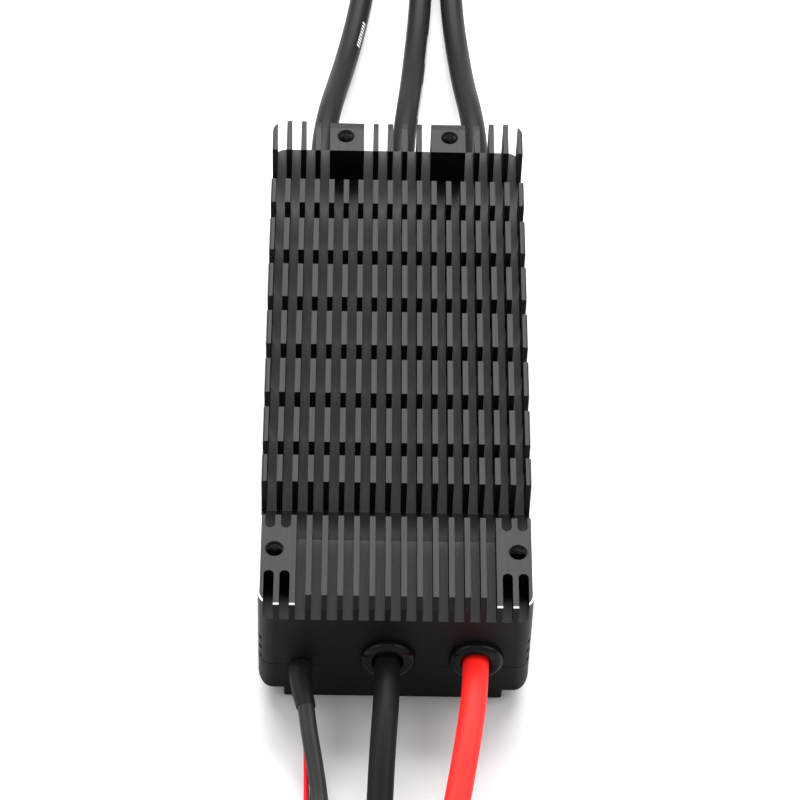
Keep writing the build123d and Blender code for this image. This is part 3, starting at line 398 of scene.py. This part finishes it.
# ---------------------------------------------------------------- surfaces
def skin(name, grid, slot, node=None, finish=None, loop=False, along=None, girth=0.0):
    """A smooth closed skin over a grid of points: rows run along the piece, columns once round
    it. The rows' ends are closed by fans, or joined to each other in a loop. Where the distance
    along each row is given, the map holds that and the distance round, in millimetres."""
    rows, turns = grid.shape[:2]
    spots = np.arange(rows * turns).reshape(rows, turns)
    cols = np.tile(np.arange(turns), (rows, 1))
    here, there = spots, np.roll(spots, -1, 1)
    if loop:
        low_a, low_b, high_a, high_b = here, there, np.roll(here, -1, 0), np.roll(there, -1, 0)
    else:
        low_a, low_b, high_a, high_b = here[:-1], there[:-1], here[1:], there[1:]
    quads = np.stack([low_a, low_b, high_b, high_a], -1).reshape(-1, 4)
    points, fans = grid.reshape(-1, 3), np.zeros((0, 3), int)
    if not loop:
        first, last = rows * turns, rows * turns + 1
        points = np.vstack([points, grid[0].mean(0), grid[-1].mean(0)])
        start = np.stack([np.full(turns, first), there[0], here[0]], -1)
        stop = np.stack([np.full(turns, last), here[-1], there[-1]], -1)
        fans = np.vstack([start, stop])
    a, b, c, d = (points[quads[:, i]] for i in range(4))
    turned_out = np.einsum("ij,ij->", a, np.cross(b, c)) + np.einsum("ij,ij->", a, np.cross(c, d))
    if turned_out < 0 and loop:
        quads = quads[:, ::-1]
    mesh = bpy.data.meshes.new(name)
    mesh.from_pydata(points.tolist(), [], quads.tolist() + fans.tolist())
    if along is not None:
        row_of = np.concatenate([np.repeat(np.arange(rows), turns), [0, rows - 1]])
        col_of = np.concatenate([cols.ravel(), [0, 0]])
        corners = np.concatenate([quads.ravel(), fans.ravel()])
        column = col_of[corners].astype(float)
        wraps = np.concatenate(
            [np.tile([0, 1, 1, 0], len(quads)), np.tile([0, 1, 0], turns), np.tile([0, 0, 1], turns)]
        )
        column[(wraps == 1) & (column == 0)] = turns
        layer = mesh.uv_layers.new(name="unrolled")
        unrolled = np.stack([along[row_of[corners]], column / turns * girth], -1) * 1000
        layer.data.foreach_set("uv", unrolled.astype(np.float32).ravel())
    mesh.polygons.foreach_set("use_smooth", np.ones(len(mesh.polygons), bool))
    mesh.set_sharp_from_angle(angle=math.radians(40))
    piece = bpy.data.objects.new(name, mesh)
    bpy.context.scene.collection.objects.link(piece)
    mesh.materials.append((finish or FINISHES[slot]).material)
    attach(piece, "root")
    if node:
        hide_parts(node)
    return piece


def spine(route):
    """Points along the NURBS line that has the route's points as its control points."""
    data = bpy.data.curves.new("route", "CURVE")
    data.dimensions, data.resolution_u = "3D", 14
    spline = data.splines.new("NURBS")
    spline.points.add(len(route) - 1)
    weighted = np.hstack([np.array(route), np.ones((len(route), 1))])
    spline.points.foreach_set("co", weighted.ravel())
    spline.order_u = 3
    spline.use_endpoint_u = True
    holder = bpy.data.objects.new("route", data)
    bpy.context.scene.collection.objects.link(holder)
    seen = holder.evaluated_get(bpy.context.evaluated_depsgraph_get())
    line = bpy.data.meshes.new_from_object(seen)
    points = np.zeros(len(line.vertices) * 3)
    line.vertices.foreach_get("co", points)
    bpy.data.objects.remove(holder)
    bpy.data.curves.remove(data)
    bpy.data.meshes.remove(line)
    return points.reshape(-1, 3)


def rings(centres, aims, across, upward, turns):
    """A ring of points round each centre, square to its aim: across times the cosine to the
    side and upward times the sine upwards, so a quarter turn is on top."""
    aims = aims / np.linalg.norm(aims, axis=1, keepdims=True)
    sides = np.cross((0, 0, 1), aims)
    sides /= np.linalg.norm(sides, axis=1, keepdims=True)
    ups = np.cross(aims, sides)
    angle = np.arange(turns) / turns * 2 * np.pi
    cosine, sine = np.cos(angle)[None, :, None], np.sin(angle)[None, :, None]
    across = np.broadcast_to(across, (len(centres), turns))[:, :, None]
    upward = np.broadcast_to(upward, (len(centres), turns))[:, :, None]
    return centres[:, None] + sides[:, None] * across * cosine + ups[:, None] * upward * sine


def lathe(start, outward, profile, turns=64, wobble=0.0):
    """Rings along Y from a start point, for a profile of radius and distance; the radius may
    vary round each ring by a wobble given for every row and column."""
    radius, distance = np.array(profile).T
    centres = np.array(start) + distance[:, None] * np.array((0, outward, 0))
    aims = np.tile((0.0, float(outward), 0.0), (len(radius), 1))
    size = radius[:, None] + wobble
    return rings(centres, aims, size, size, turns)


def smooth_step(value, low, high):
    """Rises smoothly from 0 at low to 1 at high: 3t squared less 2t cubed."""
    share = np.clip((value - low) / (high - low), 0, 1)
    return share * share * (3 - 2 * share)


# ---------------------------------------------------------------- cords
def cord(name, slot, diameter, turns):
    """A round cord along its route's spline: a ring of the cord's radius round every point."""
    line = spine(ROUTES[name])
    steps = np.linalg.norm(np.diff(line, axis=0), axis=1)
    along = np.concatenate([[0], np.cumsum(steps)])
    radius = diameter / 2
    grid = rings(line, np.gradient(line, axis=0), radius, radius, turns)
    piece = skin(
        name.replace("_lead", "_silicone").replace("_cable", "_jacket").replace("wire_", "strand_"),
        grid, slot, name, PRINTED.get(name), along=along, girth=math.pi * diameter,
    )
    return piece


# ---------------------------------------------------------------- lead entries and connectors
def grommet(name, x, end):
    """Moulded grommet: bore, inner flange and neck, and outside the wall a bead whose section is
    half an ellipse 3.5 mm wide and 1.8 mm high on a 0.6 mm rim."""
    out = -1 if end < 0 else 1
    swing = np.linspace(0, np.pi, 26)
    bead = np.stack([5.03 + 1.77 * np.cos(swing), 0.6 + 1.8 * np.sin(swing)], -1)
    inside = [(3.26, -3.9), (3.6, -4.2), (6.2, -4.2), (6.8, -3.6), (6.8, -2.65), (5.15, -2.65)]
    profile = np.vstack([bead, inside, [(5.15, 0.02), (6.6, 0.02), (6.8, 0.15)]]) * 1e-3
    grid = lathe((x, end, LEAD_LEVEL), out, profile, 96)
    return skin(f"{name}_bead", grid, "grommet_rubber", f"{name}_grommet", loop=True)


def shrink_tube(name, slot, start, out, cup, covered):
    """Heat-shrink over the lead's end and the connector's cup: the radius steps up smoothly from
    the wire to the cup, with small ripples of two waves round and several along."""
    distance = np.linspace(-9.0, covered, 72)
    angle = np.arange(56) / 56 * 2 * np.pi
    radius = 3.25 + 0.5 + (cup - 3.25) * smooth_step(distance, -2.2, 0.6)
    gathered = np.exp(-((distance + 1.2) ** 2) / 4.0)
    ripple = 0.05 * np.sin(distance * 4.2)[:, None] * np.cos(2 * angle + 0.6)[None, :]
    ripple = (ripple - 0.05) * gathered[:, None]
    lips = [(cup - 0.05, covered), (cup - 0.05, covered - 1.0)]
    profile = np.vstack([[(3.2, -8.6), (3.2, -9.0)], np.stack([radius, distance], -1), lips]) * 1e-3
    wobble = np.vstack([np.zeros((2, 56)), ripple, np.zeros((2, 56))]) * 1e-3
    grid = lathe(start, out, profile, 56, wobble)
    return skin(f"{name}_heat_shrink", grid, slot, f"{name}_shrink")


def slotted(distance, angle, low, high, count, width):
    """1 inside lengthwise slots between two distances, count of them round, with soft edges."""
    wave = np.abs((angle * count / (2 * np.pi)) % 1 - 0.5) * (2 * np.pi / count)
    round_it = 1 - smooth_step(wave, width * 0.7, width)
    run = smooth_step(distance, low, low + 0.5) * (1 - smooth_step(distance, high - 0.5, high))
    return run[:, None] * round_it[None, :]


def bullet_pin(name, start, out, pin, cup):
    """Plug bullet: cup, collar, and a pin that swells by a sine arch, with six slots along it."""
    collar, tip = 10.2, 23.2
    along = np.linspace(collar + 0.6, tip - 1.3, 64)
    arch = np.sin(np.pi * np.linspace(0, 1, 64)).clip(0) ** 0.6
    radius = (pin - 0.55) + 0.54 * arch
    nose = np.linspace(0, np.pi / 2, 10)[1:]
    rounded = np.stack([(pin - 0.55) - 1.2 * (1 - np.cos(nose)), (tip - 1.3) + 1.3 * np.sin(nose)], -1)
    head = [(0.5, 0.05), (cup - 0.05, 0.05), (cup - 0.05, 9.0), (cup + 0.35, 9.0), (cup + 0.5, 9.15)]
    head += [(cup + 0.5, collar - 0.15), (cup + 0.35, collar), (pin - 0.55, collar)]
    profile = np.vstack([head, np.stack([radius, along], -1), rounded, [(0.5, tip)]])
    angle = np.arange(72) / 72 * 2 * np.pi
    slots = slotted(profile[:, 1], angle, collar + 1.6, tip - 2.4, 6, 0.13)
    grid = lathe(start, out, profile * 1e-3, 72, -slots * 0.7e-3)
    return skin(f"{name}_contact", grid, "gold_plate", f"{name}_bullet")


def bullet_socket(name, start, out, pin, cup):
    """Socket bullet: a plain barrel with a rounded lip and a deep bore that a plug bullet fills."""
    mouth, lip = 24.0, np.linspace(0, np.pi, 12)
    middle, half = (cup + pin) / 2, (cup - pin) / 2
    rim = np.stack([middle + half * np.cos(lip), mouth - 0.3 + 0.3 * np.sin(lip)], -1)
    bore = [(pin, mouth - 2), (pin, 10.4), (pin - 0.4, 10.0), (0.6, 10.0)]
    head = [(0.6, 0.05), (cup - 0.02, 0.05), (cup - 0.02, 9), (cup - 0.02, mouth - 1)]
    profile = np.vstack([head, rim, bore]) * 1e-3
    grid = lathe(start, out, profile, 72)
    return skin(f"{name}_contact", grid, "gold_plate", f"{name}_bullet")


def thread(name, x, y, depth):
    """Thread in a mounting hole: the inner radius is a triangle wave of height plus turn, so its
    ridges climb as a helix of 0.7 mm pitch; the outer radius is buried in the metal. Its cut metal
    shines more than the housing's coat does."""
    pitch, ridge, major, outer = 0.7, 0.32, 1.985, 2.06
    turns, height = 48, np.arange(0.4, depth * 1e3 - 0.3, 0.07)
    angle = np.arange(turns) / turns
    phase = (height[:, None] / pitch + angle[None, :]) % 1
    rise = 1 - np.abs(2 * phase - 1)
    ease = smooth_step(height, 0.4, 1.1)[:, None]
    inner = major - ridge * rise * ease
    radius = np.vstack([inner, np.full((2, turns), outer)]) * 1e-3
    level = TOP - np.concatenate([height, [height[-1], height[0]]]) * 1e-3
    spin = angle * 2 * np.pi
    grid = np.stack(
        [
            x + radius * np.cos(spin),
            y + radius * np.sin(spin),
            np.broadcast_to(level[:, None], radius.shape),
        ],
        -1,
    )
    return skin(f"thread_{name}", grid, "black_anodised", finish=THREAD_FINISH, loop=True)


def signal_sleeve():
    """Heat-shrink at the signal cable's exit: its section goes from a circle of 3 mm radius in
    the wall to an upright ellipse at its end, it droops on the way, and its end is a turned lip."""
    share = np.linspace(0, 1, 60)
    start, mouth = np.array((-23.2, -76.0, 12.6)), np.array((-23.2, -81.75, 12.6))
    end, aim = np.array((-21.6, -92.6, 11.0)), np.array((0.1, -0.96, -0.26))
    bend = mouth + (0, -5.0, 0)
    s = share[:, None]
    droop = (1 - s) ** 2 * mouth + 2 * s * (1 - s) * bend + s**2 * end
    aims = (1 - s) * np.array((0, -1.0, 0)) + s * aim
    angle = np.arange(56) / 56 * 2 * np.pi
    fold = 0.10 * np.exp(-((share - 0.12) ** 2) / 0.006)[:, None] * np.cos(3 * angle + 0.8)[None, :]
    across = (3.0 + (2.45 - 3.0) * share)[:, None] + fold - 0.02
    upward = (3.0 + (2.85 - 3.0) * share)[:, None] + fold - 0.02
    heads = np.stack([start, mouth + (0, 0.4, 0)])
    tail = np.stack([end, end - aim * 0.9])
    centres = np.vstack([heads, droop, tail])
    aims = np.vstack([np.tile((0, -1.0, 0), (2, 1)), aims, np.tile(aim, (2, 1))])
    lip = [[2.15] * 56, [2.05] * 56]
    across = np.vstack([np.full((2, 56), 2.98), across, lip])
    upward = np.vstack([np.full((2, 56), 2.98), upward, [[2.5] * 56, [2.4] * 56]])
    grid = rings(centres * 1e-3, aims, across * 1e-3, upward * 1e-3, 56)
    return skin("signal_heat_shrink", grid, "black_heat_shrink", "signal_sleeve")


for name, (x, end) in LEAD_EXITS.items():
    out = -1 if end < 0 else 1
    tip = ROUTES[f"{name}_lead"][-1]
    pin, cup = (4.0, 4.5) if name.startswith("battery") else (3.0, 3.75)
    bead = grommet(name, x, end)
    red = name == "battery_positive"
    socket = name == "battery_negative"
    contact = (bullet_socket if socket else bullet_pin)(name, tip, out, pin, cup)
    shrink_slot = "red_heat_shrink" if red else "black_heat_shrink"
    shrink = shrink_tube(name, shrink_slot, tip, out, cup, 23.9 if socket else 9.0)
    cord(
        f"{name}_lead", "red_silicone" if red else "black_silicone", 2 * WIRE_RADIUS, 44,
    )

sleeve = signal_sleeve()
cord(
    "signal_cable", "cable_jacket", 0.0042, 36,
)
for tint in ("red", "black"):
    cord(
        f"aux_wire_{tint}", f"thin_{tint}_wire", 0.0013, 20,
    )

for name, (x, y, depth) in MOUNT_HOLES.items():
    thread(name, x, y, depth)


# ---------------------------------------------------------------- floor and light
FLOOR_GREY = (0.43, 0.43, 0.435)
FLOOR_DROP = 0.0001


def floor():
    """A matt grey disc, 5 m in radius, that the strong light from behind turns white. Its height
    is zero throughout, and it lies just under the base plate."""
    circles, turns = 24, 64
    radius = np.linspace(0.001, 5.0, circles)[:, None]
    angle = (np.arange(turns) / turns * 2 * np.pi)[None, :]
    flat = np.stack([radius * np.cos(angle), radius * np.sin(angle), 0 * radius * angle], -1)
    spots = np.arange(circles * turns).reshape(circles, turns)
    there = np.roll(spots, -1, 1)
    quads = np.stack([spots[:-1], spots[1:], there[1:], there[:-1]], -1).reshape(-1, 4)
    mesh = bpy.data.meshes.new("floor")
    mesh.from_pydata(flat.reshape(-1, 3).tolist(), [], quads.tolist() + [spots[0].tolist()])
    sheet = bpy.data.objects.new("floor", mesh)
    bpy.context.scene.collection.objects.link(sheet)
    mesh.materials.append(mottled("pale_floor", FLOOR_GREY, 0.6, 0.01, 3.0).material)
    sheet.location.z = -FLOOR_DROP


def softbox(name, azimuth, elevation, distance, width, height, radiance):
    """A rectangular light that faces the case; azimuth is from +Y towards +X, in degrees."""
    data = bpy.data.lights.new(name, "AREA")
    data.shape, data.size, data.size_y = "RECTANGLE", width, height
    data.energy = radiance * math.pi * width * height
    turn, lift = math.radians(azimuth), math.radians(elevation)
    away = Vector((math.sin(turn) * math.cos(lift), math.cos(turn) * math.cos(lift), math.sin(lift)))
    light = bpy.data.objects.new(name, data)
    light.location = away * distance + Vector((0, 0, 0.02))
    light.rotation_euler = away.to_track_quat("Z", "Y").to_euler()
    bpy.context.scene.collection.objects.link(light)


# Azimuth and elevation in degrees, distance, width and height in metres, radiance
LIGHTS = {
    "back_softbox": (0, 50, 1.7, 1.7, 1.15, 18.2),
    "left_softbox": (-82, 42, 1.5, 0.8, 1.1, 4.5),
    "right_softbox": (82, 42, 1.5, 0.8, 1.1, 5.5),
}

floor()
for name, settings in LIGHTS.items():
    softbox(name, *settings)
world = bpy.data.worlds.new("studio")
world.use_nodes = True
backdrop = world.node_tree.nodes["Background"]
backdrop.inputs["Color"].default_value = (1.0, 1.0, 1.0, 1.0)
backdrop.inputs["Strength"].default_value = 1.0
bpy.context.scene.world = world
bpy.context.scene.view_settings.view_transform = "Standard"
